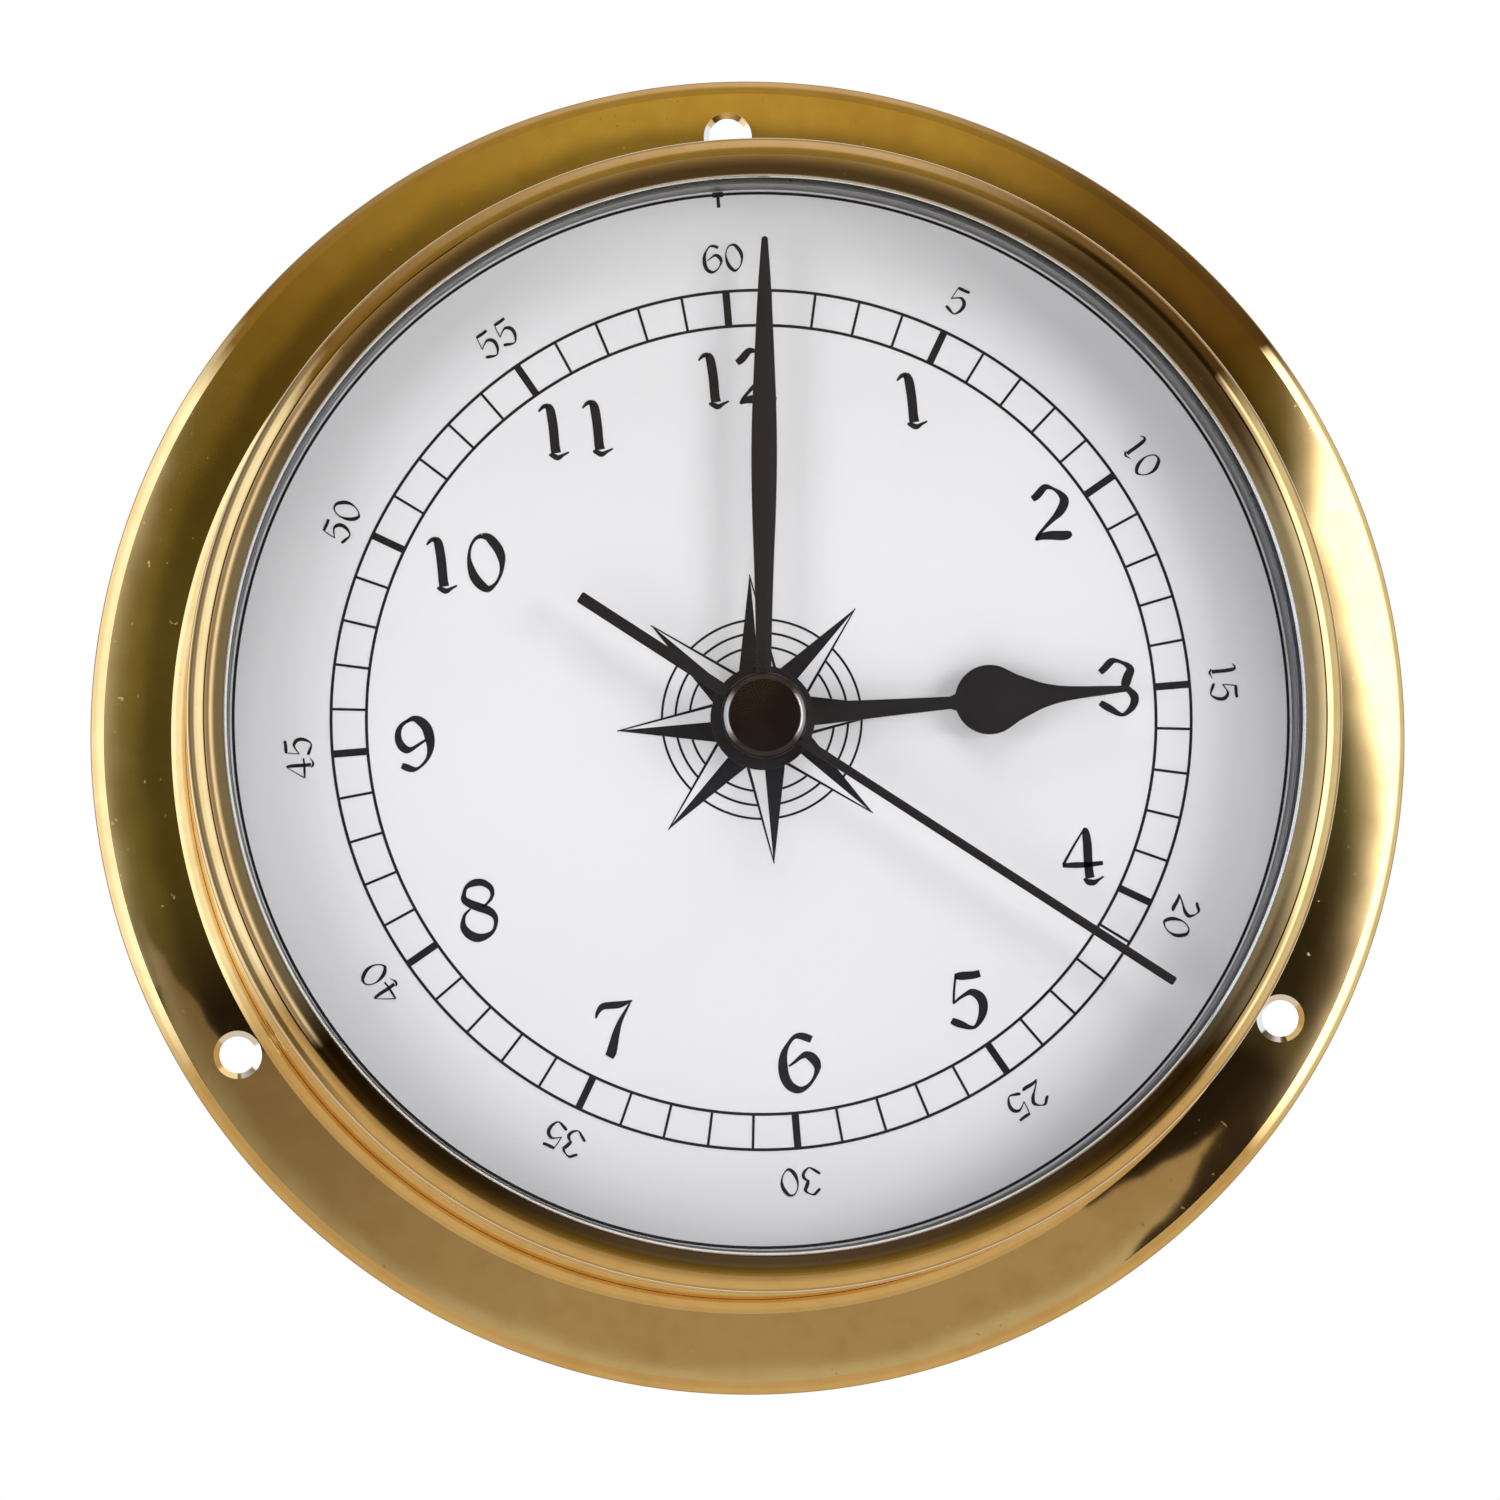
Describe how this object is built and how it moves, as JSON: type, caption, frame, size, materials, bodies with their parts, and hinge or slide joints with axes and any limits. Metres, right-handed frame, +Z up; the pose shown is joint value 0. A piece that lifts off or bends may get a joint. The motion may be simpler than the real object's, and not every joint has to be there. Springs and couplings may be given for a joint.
{
  "type": "wall clock",
  "caption": "Round brass marine wall clock with a screwed wall flange, convex bezel, flat glass, printed dial, three black hands and a quartz movement with its gear train.",
  "frame": {"origin": "centre of the flange's back face, on the wall", "axes": "+Z up, +X to the right as the dial is read, +Y into the wall; the dial looks along -Y and every arbor lies along Y"},
  "size_m": [0.115, 0.038, 0.115],
  "materials": {
    "brass": "polished and lacquered",
    "glass": "clear",
    "satin_metal": "glossy grey",
    "dial": "off-white with black print",
    "hand": "gloss black",
    "black_plastic": "moulded",
    "white_plastic": "moulded",
    "rubber": "soft black",
    "steel": "nickel plated",
    "copper": "enamelled copper wire",
    "circuit": "solder mask",
    "battery": "plain wrapped cell"
  },
  "bodies": {
    "clock_case": {"case_body": "brass", "bezel_ring": "brass", "glass_lens": "glass", "glass_gasket": "rubber", "rehaut_ring": "satin_metal", "dial_plate": "dial", "dial_carrier": "black_plastic", "rear_cover": "black_plastic", "rear_seal": "rubber", "cover_screw_1": "steel", "cover_screw_2": "steel", "cover_screw_3": "steel", "movement_back_case": "black_plastic", "movement_front_case": "black_plastic", "wheel_bridge": "white_plastic", "movement_washer": "rubber", "post_nut": "steel", "battery": "battery", "battery_contact_positive": "steel", "battery_spring_negative": "steel", "circuit_board": "circuit", "quartz_crystal": "steel", "stator": "steel", "coil_core": "steel", "coil_winding": "copper"},
    "seconds": {"seconds_wheel": "steel", "seconds_hand": "hand", "seconds_cap": "hand"},
    "minutes": {"minute_wheel": "steel", "minute_hand": "hand"},
    "hours": {"hour_wheel": "white_plastic", "hour_hand": "hand"},
    "third": {"third_wheel": "white_plastic"},
    "fifth": {"fifth_wheel": "white_plastic"},
    "stepping_rotor": {"rotor": "white_plastic"},
    "motion": {"motion_wheel": "white_plastic"},
    "setting": {"setting_knob": "white_plastic"}
  },
  "joints": [
    {"name": "seconds_turn", "type": "hinge", "parent": "clock_case", "child": "seconds", "pos_m": [0, 0, 0], "axis": [0, 1, 0], "continuous": true},
    {"name": "minutes_turn", "type": "hinge", "parent": "clock_case", "child": "minutes", "pos_m": [0, 0, 0], "axis": [0, 1, 0], "continuous": true},
    {"name": "hours_turn", "type": "hinge", "parent": "clock_case", "child": "hours", "pos_m": [0, 0, 0], "axis": [0, 1, 0], "continuous": true},
    {"name": "third_turn", "type": "hinge", "parent": "clock_case", "child": "third", "pos_m": [0.00308, 0, 0.00846], "axis": [0, 1, 0], "continuous": true},
    {"name": "fifth_turn", "type": "hinge", "parent": "clock_case", "child": "fifth", "pos_m": [0.00658, 0, -0.00239], "axis": [0, 1, 0], "continuous": true},
    {"name": "rotor_turn", "type": "hinge", "parent": "clock_case", "child": "stepping_rotor", "pos_m": [0.01316, 0, 0], "axis": [0, 1, 0], "continuous": true},
    {"name": "motion_turn", "type": "hinge", "parent": "clock_case", "child": "motion", "pos_m": [-0.00846, 0, 0.00308], "axis": [0, 1, 0], "continuous": true},
    {"name": "setting_turn", "type": "hinge", "parent": "clock_case", "child": "setting", "pos_m": [-0.00846, 0, 0.01245], "axis": [0, 1, 0], "continuous": true}
  ],
  "couplings": [
    {"joint": "fifth_turn", "follows": "seconds_turn", "ratio": -5},
    {"joint": "rotor_turn", "follows": "seconds_turn", "ratio": 30},
    {"joint": "third_turn", "follows": "seconds_turn", "ratio": -0.13333},
    {"joint": "minutes_turn", "follows": "seconds_turn", "ratio": 0.016667},
    {"joint": "motion_turn", "follows": "seconds_turn", "ratio": -0.0055556},
    {"joint": "hours_turn", "follows": "seconds_turn", "ratio": 0.0013889},
    {"joint": "setting_turn", "follows": "seconds_turn", "ratio": 0.014286}
  ]
}
